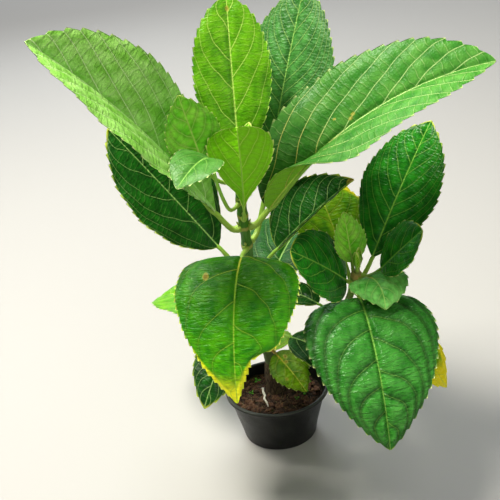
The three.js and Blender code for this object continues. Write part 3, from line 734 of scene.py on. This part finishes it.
def makeStalkMaterial(name, look):
    material, add = newMaterial("stalk_" + name)
    flat = add("Attribute", {"attribute_name": "flat"})["Vector"]
    spot = add("Attribute", {"attribute_name": "spot"})["Vector"]
    along = add("SeparateXYZ", {0: spot})[0]
    along = add("MapRange", {"From Max": 0.35, "Value": along})[0]
    skin = add("Mix", {6: colour(look["foot"]), 7: colour(look["far"]), 0: along})[2]
    drawn = add("VectorMath", {"operation": "MULTIPLY", 1: (0.12, 1.6, 1), 0: flat})[0]
    fibres = add("TexNoise", {"Scale": 1.0, "Detail": 3.0, "Vector": drawn})[0]
    streaks = add("MapRange", {"From Min": 0.5, "From Max": 0.75, "To Max": 0.6, "Value": fibres})[0]
    skin = add("Mix", {7: colour(look["streak"]), 0: streaks, 6: skin})[2]
    bump = add("Bump", {"Strength": 0.5, "Distance": 0.3 * mm, "Height": fibres})[0]
    skin = add("BsdfPrincipled", {"Roughness": 0.42, "IOR": 1.42, "Base Color": skin, "Normal": bump})
    add("OutputMaterial", {"Surface": skin[0]})
    return material


for name, look in bladeLooks.items():
    bladeMaterials[name] = makeBladeMaterial(name, {**usualLook, **look})
for name, look in stalkLooks.items():
    stalkMaterials[name] = makeStalkMaterial(name, look)
print("materials for leaves made")

for number, leaf in enumerate(leaves):
    place(makeLeaf(leaf, number), slotOf[leaf["name"]], leaf["name"])
print("leaves made:", len(leaves))


# A stem's tip: a small bud between four leaflets that close over it.
def makeTip(stem, name, size, bearing, number):
    run = stemRun(stem, 1)
    foot = stemPoint(stem, 1) + run * gap
    core = {"foot": foot, "tip": foot + run * size, "bow": (0, 0, 0), "wide": stem["narrow"], "narrow": 0.9,
            "nodes": [], "reach": 1}
    place(makeStem(name + "_bud", core, 16, 24, -1.2 / size, "flush"), slotOf[name], name)
    for i in range(4):
        inner = i > 1
        # the inner pair sits higher, is smaller and is turned by a quarter
        leaflet = makeLeaf(dict(
            name=f"{name}_leaflet_{i + 1}", stem=core, at=0.7 if inner else 0.3, clear=-1.5,
            bearing=bearing + 180 * i + (90 if inner else 0), stalk=3, length=size * (1.3 if inner else 2),
            width=size * (0.7 if inner else 1), rise=70 + 5 * i, arch=-20, fold=25, look="youngLit",
        ), number + i)
        place(leaflet, "young_leaf")


# Soft wood under a green or olive skin, with brown corky flecks lengthwise and a pale scar at each node.
stemLooks = {
    "olive": dict(low="#465a1c", high="#3f7c14", fleck="#41441c", scar="#b0a850"),
    "greenShoot": dict(low="#66692a", high="#6f9430", fleck="#4f4826", scar="#bfa056"),
    "flush": dict(low="#7c8c3c", high="#a4b84e", fleck="#7a6c38", scar="#a4b84e"),
}
stemMaterials = {}
for name, look in stemLooks.items():
    material, add = newMaterial("stem_" + name)
    flat = add("Attribute", {"attribute_name": "flat"})["Vector"]
    spot = add("Attribute", {"attribute_name": "spot"})["Vector"]
    spotParts = add("SeparateXYZ", {0: spot})
    rise = add("MapRange", {**eased, "From Max": 0.7, "Value": spotParts[0]})[0]
    skin = add("Mix", {6: colour(look["low"]), 7: colour(look["high"]), 0: rise})[2]
    drawn = add("VectorMath", {"operation": "MULTIPLY", 1: (0.10, 0.9, 1), 0: flat})[0]
    fibres = add("TexNoise", {"Scale": 1.3, "Detail": 4.0, "Vector": drawn})[0]
    flecks = add("MapRange", {"From Min": 0.52, "From Max": 0.68, "To Max": 0.6, "Value": fibres})[0]
    skin = add("Mix", {7: colour(look["fleck"]), 0: flecks, 6: skin})[2]
    scars = add("MapRange", {**eased, "From Min": 2.4, "From Max": 0.6, "To Max": 0.8,
                             "Value": spotParts[2]})[0]
    skin = add("Mix", {7: colour(look["scar"]), 0: scars, 6: skin})[2]
    bump = add("Bump", {"Strength": 0.8, "Distance": 0.5 * mm, "Height": fibres})[0]
    rough = add("MapRange", {"To Min": 0.42, "To Max": 0.62, "Value": fibres})[0]
    skin = add("BsdfPrincipled", {"IOR": 1.45, "Base Color": skin, "Roughness": rough, "Normal": bump})
    add("OutputMaterial", {"Surface": skin[0]})
    stemMaterials[name] = material


# A round stem with long shallow ridges, swollen at its nodes. It starts at k = below, a little under
# its foot.
def makeStem(name, stem, sidesCount, rows, below, look):
    tall = np.linalg.norm(np.subtract(stem["tip"], stem["foot"]))
    ks = np.linspace(below, 1, rows)
    angle = circle(sidesCount)
    points, flat, spot = [], [], []
    for k in ks:
        run = stemRun(stem, min(1, max(0, k)))
        x, y = axesAcross(run)
        r = stemRadius(stem, max(0, k))
        middle = stemPoint(stem, max(0, k)) + run * tall * min(0, k)
        ring = ringOn(angle, x, y)
        ridge = 0.05 * np.sin(6 * angle + 2) + 0.035 * np.sin(9 * angle + 9 * k)
        points.append(middle + ring * (r * (1 + ridge - 0.03))[:, None])
        near = min([abs(k - at) * tall for at in stem["nodes"]], default=99)
        upStem = np.full(sidesCount, k * tall)
        flat.append(np.stack([upStem, angle * stem["wide"], 0 * angle], -1))
        spot.append(np.tile((max(0, k), 0, near), (sidesCount, 1)))
    return makePiece(name, np.concatenate(points), barFaces(rows, sidesCount), [stemMaterials[look]],
                     {"flat": np.concatenate(flat), "spot": np.concatenate(spot)})


place(makeStem("main_stem_skin", mainStem, 36, 420, -0.012, "olive"), "stem", "main_stem")
place(makeStem("right_stem_skin", shoot, 30, 260, -0.01, "greenShoot"), "stem", "right_stem")
makeTip(mainStem, "main_tip", 10, 20, 40)
makeTip(shoot, "right_tip", 8, 60, 50)
print("stems made")


budLook = {"up": 3.2, "sunk": 0.4, "lean": 0.45, "long": 2.6, "wide": 0.62}  # long and wide: times its size


# A bud sits in the armpit of each leaf stalk: two small scales closed over each other. The
# leaves nearest the tip have none yet.
def makeBuds(name, stem, size):
    points, faces = [], []
    profile = [(0.0, 0.5), (0.15, 0.9), (0.4, 1.0), (0.7, 0.72), (0.9, 0.35), (1.0, 0.05)]
    angle = circle(12)
    for leaf in leaves:
        if leaf["stem"] is not stem or leaf["at"] > 0.9:
            continue
        out = acrossStem(stem, leaf["at"], math.radians(leaf["bearing"]))
        run = stemRun(stem, leaf["at"])
        foot = stemPoint(stem, leaf["at"]) + out * (stemRadius(stem, leaf["at"]) - budLook["sunk"])
        foot = foot + run * budLook["up"]
        way = unit(run + out * budLook["lean"])
        x = unit(np.cross(way, out))
        y = np.cross(way, x)
        start = len(points) * 12
        for along, wide in profile:
            ring = ringOn(angle, 1.2 * x, 0.8 * y)
            split = 1 - 0.12 * np.abs(np.cos(angle)) ** 8
            ring = ring * (wide * size * budLook["wide"] * split)[:, None]
            points.append(foot + way * along * size * budLook["long"] + ring)
        faces += barFaces(len(profile), 12, start)
    points = np.concatenate(points)
    flat = points[:, [2, 0, 1]]
    spot = np.tile((1.0, 0, 9), (len(points), 1))
    fields = {"flat": flat, "spot": spot}
    place(makePiece(name, points, faces, [stemMaterials["flush"]], fields), "stem")


makeBuds("main_stem_buds", mainStem, 1.7)
makeBuds("right_stem_buds", shoot, 1.4)


# Thin corky bark on soft wood: grey-brown plates split by dark cracks, with patches of paler new cork.
# Object coordinates are in metres here, so a scale of 420 gives a grain about 2.4 mm wide.
barkLook = {"plate": "#6e5c42", "old": "#4a3d2c", "crack": "#2c231a", "fresh": "#a08560"}
barkMaterial, add = newMaterial("corky_bark")
place3d = add("TexCoord")["Object"]
stretched = add("VectorMath", {"operation": "MULTIPLY", 1: (420, 420, 110), 0: place3d})[0]
grain = add("TexNoise", {"Scale": 1.0, "Detail": 5.0, "Roughness": 0.65, "Vector": stretched})[0]
plates = add("TexVoronoi", {"feature": "DISTANCE_TO_EDGE", "Scale": 0.8, "Vector": stretched})[0]
bark = add("Mix", {6: colour(barkLook["old"]), 7: colour(barkLook["plate"]), 0: grain})[2]
cracks = add("MapRange", {"From Max": 0.13, "To Min": 0.85, "To Max": 0.0, "Value": plates})[0]
bark = add("Mix", {7: colour(barkLook["crack"]), 0: cracks, 6: bark})[2]
fresh = add("MapRange", {"From Min": 0.6, "From Max": 0.72, "To Max": 0.6, "Value": grain})[0]
bark = add("Mix", {7: colour(barkLook["fresh"]), 0: fresh, 6: bark})[2]
ridges = add("MapRange", {"From Max": 0.3, "Value": plates})[0]
ridges = add("Math", {"operation": "ADD", 0: ridges, 1: grain})[0]
bump = add("Bump", {"Strength": 1.0, "Distance": 0.9 * mm, "Height": ridges})[0]
cork = add("BsdfPrincipled", {"Roughness": 0.88, "IOR": 1.45, "Base Color": bark, "Normal": bump})
add("OutputMaterial", {"Surface": cork[0]})

# arm: how far it reaches back into the trunk; under: how far the trunk runs on into the soil
trunkLook = {"voxel": 0.55, "relief": 0.32, "arm": 12.5, "under": 2.2}


# The woody foot with the arm that bears the shoot, melted into one mesh and roughened by bark relief.
def makeTrunk():
    away = stemRun(shoot, 0)
    foot = np.array(shoot["foot"], float)
    arm = {"foot": foot - away * trunkLook["arm"], "tip": foot - away * 0.1, "bow": (0, 0, 0),
           "wide": 4.8, "narrow": 4.4, "nodes": [], "reach": 1}
    points, faces = [], []
    for stem, level, sidesCount, rows in ((trunk, True, 40, 60), (arm, False, 32, 24)):
        start = sum(len(p) for p in points)
        angle = circle(sidesCount)
        for k in np.linspace(0, 1, rows):
            run = np.array((0, 0, 1.0)) if level else stemRun(stem, k)
            x, y = axesAcross(run)
            middle = stemPoint(stem, k)
            if level and k == 0:
                middle = middle - (0, 0, trunkLook["under"])
            # three low buttresses where the roots leave
            flare = 1 + (0.16 * math.exp(-k * 9) * np.cos(3 * angle + 0.6) if level else 0)
            around = stemRadius(stem, k) * np.broadcast_to(flare, angle.shape)
            points.append(middle + ringOn(angle, x, y) * around[:, None])
        faces += barFaces(rows, sidesCount, start)
    rough = makePiece("trunk_rough", np.concatenate(points), faces, [barkMaterial])
    remesh = rough.modifiers.new("remesh", "REMESH")
    remesh.mode = "VOXEL"
    remesh.voxel_size = trunkLook["voxel"] * mm
    softened = rough.modifiers.new("soften", "SMOOTH")
    softened.iterations = 4
    made = bpy.data.meshes.new_from_object(rough.evaluated_get(bpy.context.evaluated_depsgraph_get()))
    bpy.data.objects.remove(rough)
    count = len(made.vertices)
    co, normals = np.empty(count * 3), np.empty(count * 3)
    made.vertices.foreach_get("co", co)
    made.vertices.foreach_get("normal", normals)
    co, normals = co.reshape(-1, 3) / mm, normals.reshape(-1, 3)
    squeezed = co * (1, 1, 0.28)
    relief = hills(squeezed, 3.2, 5) + 0.7 * hills(squeezed, 1.5, 6)
    co += normals * (trunkLook["relief"] * (relief - 0.4))[:, None]
    made.vertices.foreach_set("co", (co * mm).ravel())
    made.polygons.foreach_set("use_smooth", [True] * len(made.polygons))
    made.materials.clear()
    made.materials.append(barkMaterial)
    made.update()
    made.name = "trunk_bark"
    piece = bpy.data.objects.new("trunk_bark", made)
    bpy.context.scene.collection.objects.link(piece)
    return piece


place(makeTrunk(), "bark", "trunk")
print("trunk made")

potLook = {
    "height": 54, "rim": 48, "foot": 34, "oval": 0.81, "wall": 1.2, "lipOut": 1.8, "lipTall": 3.5,
    "dent": 0.55, "sides": 160,
}


def potWide(z):
    return potLook["foot"] + (potLook["rim"] - potLook["lipOut"] - potLook["foot"]) * z / potLook["height"]


# Rings of an oval, from rows of (radius, height); the radius is the wide one.
def ovalPoints(profile, sidesCount):
    angle = circle(sidesCount)
    profile = np.array(profile, float)
    x = profile[:, :1] * np.cos(angle)
    y = profile[:, :1] * np.sin(angle) * potLook["oval"]
    z = np.broadcast_to(profile[:, 1:2], x.shape)
    return np.stack([x, y, z], -1)


def makePot():
    tall, rim = potLook["height"], potLook["rim"]
    under = tall - potLook["lipTall"]
    inner = potLook["wall"] / potLook["oval"]
    # from the hollow under the foot, up the wall, over the lip and down to the floor inside
    profile = [(0.5, 0.7), (22, 0.7), (22.8, 0.5), (23.2, 0), (32.6, 0), (33.4, 0.25), (34.0, 0.9)]
    profile += [(potWide(z), z) for z in np.linspace(2, under - 0.8, 40)]
    profile += [(potWide(under), under - 0.1), (rim - 0.7, under + 0.25), (rim - 0.15, under + 0.7),
                (rim, under + 1.3), (rim, tall - 0.8), (rim - 0.25, tall - 0.25), (rim - 0.8, tall),
                (potWide(tall) - inner + 0.5, tall), (potWide(tall) - inner + 0.1, tall - 0.3)]
    profile += [(potWide(z) - inner, z) for z in np.linspace(tall - 1, 1.6, 34)] + [(0.5, 1.6)]
    # soft creases where the thin wall has been pressed, fading out at the lip and the foot
    flat = ovalPoints(profile, potLook["sides"]).reshape(-1, 3)
    dents = hills(flat * (1, 1, 0.45), 34, 11) + 0.5 * hills(flat * (1, 1, 0.6), 15, 12)
    fade = smoothStep(flat[:, 2] / 10) * smoothStep((under + 1 - flat[:, 2]) / 8)
    away = flat[:, :2] / np.maximum(np.linalg.norm(flat[:, :2], axis=1, keepdims=True), 1)
    flat[:, :2] -= away * (potLook["dent"] * np.clip(dents + 0.35, 0, 1.4) * fade)[:, None]
    return makePiece("pot_black", flat, barFaces(len(profile), potLook["sides"]), [potMaterial])


# Thin black polypropylene, pressed over a mould: a dull satin shine, paler along the top of the lip, partly
# scuffed and partly a painted highlight, with dried mud in streaks under the lip.
plasticLook = {"black": "#090b0a", "worn": "#171a17", "mud": "#332f24", "lipScuffAndHighlight": "#50544c"}
potMaterial, add = newMaterial("black_polypropylene")
place3d = add("TexCoord")["Object"]
clouds = add("TexNoise", {"Scale": 55.0, "Detail": 4.0, "Vector": place3d})[0]
worn = add("MapRange", {"From Min": 0.42, "From Max": 0.7, "Value": clouds})[0]
skin = add("Mix", {6: colour(plasticLook["black"]), 7: colour(plasticLook["worn"]), 0: worn})[2]
streaked = add("VectorMath", {"operation": "MULTIPLY", 1: (260, 260, 45), 0: place3d})[0]
streaks = add("TexNoise", {"Scale": 1.0, "Detail": 5.0, "Roughness": 0.7, "Vector": streaked})[0]
mud = add("MapRange", {"From Min": 0.56, "From Max": 0.75, "To Max": 0.55, "Value": streaks})[0]
skin = add("Mix", {7: colour(plasticLook["mud"]), 0: mud, 6: skin})[2]
tall = add("SeparateXYZ", {0: place3d})[2]
# painted highlight and scuffing: paler along the top of the lip
onLip = add("MapRange", {"From Min": (potLook["height"] - 1.4) * mm,
                         "From Max": (potLook["height"] - 0.2) * mm, "To Max": 0.55, "Value": tall})[0]
skin = add("Mix", {7: colour(plasticLook["lipScuffAndHighlight"]), 0: onLip, 6: skin})[2]
scuffed = add("VectorMath", {"operation": "MULTIPLY", 1: (300, 300, 2200), 0: place3d})[0]
scuffs = add("TexNoise", {"Scale": 1.0, "Detail": 2.0, "Vector": scuffed})[0]
rough = add("Math", {"operation": "MULTIPLY_ADD", 1: 0.22, 2: 0.30, 0: scuffs})[0]
rough = add("Math", {"operation": "MULTIPLY_ADD", 1: 0.5, 0: mud, 2: rough})[0]
bump = add("Bump", {"Strength": 0.35, "Distance": 0.3 * mm, "Height": scuffs})[0]
skin = add("BsdfPrincipled", {"IOR": 1.49, "Specular IOR Level": 0.32, "Base Color": skin,
                              "Roughness": rough, "Normal": bump})
add("OutputMaterial", {"Surface": skin[0]})
place(makePot(), "pot", "pot")

# Damp peat with composted bark: nearly black fine crumbs, with red-brown chips and pale fibres on top.
soilLook = {"top": 45, "darkChips": 330, "redChips": 190, "fibres": 130, "sides": 150}
soilColours = {
    "peat": ("#1e1610", "#3a2a1c"),
    "darkChip": ("#2a1c12", "#4a3322"),
    "redChip": ("#3c2618", "#6a4a34"),
    "fibre": ("#5c4a34", "#8a7454"),
    "whiteRoot": ("#cfc8b4", "#efeadc"),
    "weed": ("#2f6a12", "#5c9c28"),
}
soilMaterials = {}
for name, (dark, pale) in soilColours.items():
    material, add = newMaterial("soil_" + name)
    place3d = add("TexCoord")["Object"]
    crumbs = add("TexNoise", {"Scale": 420.0, "Detail": 6.0, "Roughness": 0.7, "Vector": place3d})[0]
    spread = add("MapRange", {"From Min": 0.35, "From Max": 0.68, "Value": crumbs})[0]
    earth = add("Mix", {6: colour(dark), 7: colour(pale), 0: spread})[2]
    bump = add("Bump", {"Strength": 1.0, "Distance": 1.2 * mm, "Height": crumbs})[0]
    damp = add("MapRange", {"To Min": 0.95, "To Max": 0.65, "Value": crumbs})[0]
    earth = add("BsdfPrincipled", {"IOR": 1.4, "Base Color": earth, "Roughness": damp, "Normal": bump})
    add("OutputMaterial", {"Surface": earth[0]})
    soilMaterials[name] = material


def soilHeight(x, y):
    spots = np.stack([x, y, np.zeros_like(x)], -1).reshape(-1, 3)
    away = np.hypot(x, y / potLook["oval"]).ravel()
    rough = 0.9 * hills(spots, 17, 31) + 0.55 * hills(spots, 6.5, 32) + 0.4 * hills(spots, 2.8, 33)
    calm = smoothStep((away - 7) / 9)
    dome = soilLook["top"] + 0.4 - 1.5 * smoothStep((away - 15) / 20)
    return (dome + rough * (0.25 + 0.75 * calm)).reshape(x.shape)


def makeSoil():
    def inner(z):
        return potWide(z) - (potLook["wall"] + gap) / potLook["oval"]

    profile = [(inner(2), 2), (inner(20), 20), (inner(40), 40)]
    profile += [(inner(43) * k, 43) for k in np.linspace(1, 0.02, 70)]
    points = ovalPoints(profile, soilLook["sides"])
    top = points[3:]
    top[..., 2] = soilHeight(top[..., 0], top[..., 1])
    faces = barFaces(len(profile), soilLook["sides"])
    return makePiece("soil_peat", points.reshape(-1, 3), faces, [soilMaterials["peat"]])


def heightAt(x, y):
    return float(soilHeight(np.array([x]), np.array([y]))[0])


# How far a spot is from the pot's wall and from the middle of the trunk.
def clearances(x, y):
    toWall = potWide(soilLook["top"]) - math.hypot(x, y / potLook["oval"])
    return toWall, math.hypot(x - trunk["foot"][0], y - trunk["foot"][1])


# A spot on the soil, clear of the pot's wall and of the trunk.
def soilSpot(dice, margin):
    while True:
        x, y = dice.uniform(-44, 44), dice.uniform(-36, 36)
        toWall, toTrunk = clearances(x, y)
        if toWall > 3 + margin and toTrunk > 8.5 + margin:
            return x, y, heightAt(x, y)


chipLook = {"wide": 0.26, "thick": 0.15, "lift": 0.06}  # times a chip's length


# Flat broken bits of bark, size millimetres long, that lie at all angles.
def makeChips(name, count, seed, size, material):
    dice = random.Random(seed)
    ring = circle(7)
    points, faces = [], []
    for _ in range(count):
        long = dice.uniform(*size)
        x, y, z = soilSpot(dice, long * 0.4)
        start = len(points) * 7
        turn = Matrix.Rotation(dice.uniform(0, 6.3), 3, "Z") @ Matrix.Rotation(dice.gauss(0, 0.3), 3, "X")
        turn = np.array(turn @ Matrix.Rotation(dice.gauss(0, 0.3), 3, "Y"))
        for along, wide in ((-0.5, 0.55), (-0.2, 1), (0.22, 0.95), (0.5, 0.6)):
            jitter = np.array([dice.uniform(0.8, 1.2) for _ in ring])
            chip = np.stack([np.full(7, along * long) + np.array([dice.uniform(-0.3, 0.3) for _ in ring]),
                             np.cos(ring) * wide * jitter * long * chipLook["wide"],
                             np.sin(ring) * wide * jitter * long * chipLook["thick"]], -1)
            points.append(chip @ turn.T + (x, y, z + long * chipLook["lift"]))
        faces += barFaces(4, 7, start)
    place(makePiece(name, np.concatenate(points), faces, [material], smooth=False), "soil")


# Thin crooked strands that lie on the soil.
def makeStrands(name, paths, radius, material, sidesCount=6):
    angle = circle(sidesCount)
    points, faces = [], []
    for path in paths:
        path = np.array(path, float)
        start = len(points) * sidesCount
        for i, p in enumerate(path):
            run = unit(path[min(i + 1, len(path) - 1)] - path[max(i - 1, 0)])
            x = unit(np.cross(run, (0.1, 0.2, 1)))
            y = np.cross(x, run)
            thin = radius * (0.45 + 0.55 * math.sin(math.pi * (i + 0.6) / (len(path) + 0.2)))
            points.append(p + ringOn(angle, x, y) * thin)
        faces += barFaces(len(path), sidesCount, start)
    place(makePiece(name, np.concatenate(points), faces, [material]), "soil")


def fibrePaths(count, seed):
    dice = random.Random(seed)
    paths = []
    for _ in range(count):
        x, y, _ = soilSpot(dice, 4)
        way, bend, step = dice.uniform(0, 6.3), dice.gauss(0, 0.35), dice.uniform(0.8, 2.0)
        path = []
        for i in range(8):
            toWall, toTrunk = clearances(x, y)
            if toWall < 3.5 or toTrunk < 8:
                break
            path.append((x, y, heightAt(x, y) + 0.35 + 0.5 * math.sin(i * 0.9 + way)))
            way += bend + dice.gauss(0, 0.15)
            x += step * math.cos(way)
            y += step * math.sin(way)
        if len(path) > 3:
            paths.append(path)
    return paths


place(makeSoil(), "soil", "soil")
makeChips("soil_chips_dark", soilLook["darkChips"], 41, (2.2, 6.5), soilMaterials["darkChip"])
makeChips("soil_chips_red", soilLook["redChips"], 42, (2.5, 8.5), soilMaterials["redChip"])
makeStrands("soil_fibres", fibrePaths(soilLook["fibres"], 43), 0.28, soilMaterials["fibre"])
# one thick white root lies bare at the front
root = [(-15.5, 8, 45.6), (-13, 6.5, 47.2), (-13.4, 1, 47.8), (-12, -4, 47.6), (-13, -8, 47.5),
        (-11, -13, 47), (-10, -17, 45.4)]
makeStrands("soil_bare_root", [root], 1.1, soilMaterials["whiteRoot"], 12)


# Tiny weeds, two or three round leaflets each, in the crumbs.
def makeWeeds(places):
    dice = random.Random(52)
    ring = circle(12)
    points, faces = [], []
    for x, y, size in places:
        z = heightAt(x, y)
        turn = dice.uniform(0, 6.3)
        for i in range(3):
            way = turn + 2.1 * i
            out = np.array((math.cos(way), math.sin(way), 0))
            across = np.array((-out[1], out[0], 0))
            start = sum(len(p) for p in points)
            for lift, wide in ((0, 0.93), (0.3, 1), (0.55, 0.9)):
                leaflet = 1.3 * size * out + ringOn(ring, size * wide * out, 0.8 * size * wide * across)
                leaflet[:, 2] += 1.2 * size + lift + 0.25 * size * np.cos(ring)
                points.append(leaflet + (x, y, z))
            for outward, rise in ((0, -0.5), (0, 0.6 * size), (0.9 * size, 1.1 * size)):
                centre = np.array((x, y, z + rise)) + out * outward
                points.append(centre + ringOn(ring, np.array((0.3, 0, 0)), np.array((0, 0.3, 0))))
            faces += barFaces(3, 12, start) + barFaces(3, 12, start + 36)
    place(makePiece("soil_weeds", np.concatenate(points), faces, [soilMaterials["weed"]]), "soil")


makeWeeds([(-18, 20, 1.6), (25, -4, 1.8), (17, -11, 1.1), (-24, 4, 1.2), (30, 12, 1.5), (-6, 27, 1.3)])
print("pot and soil made")
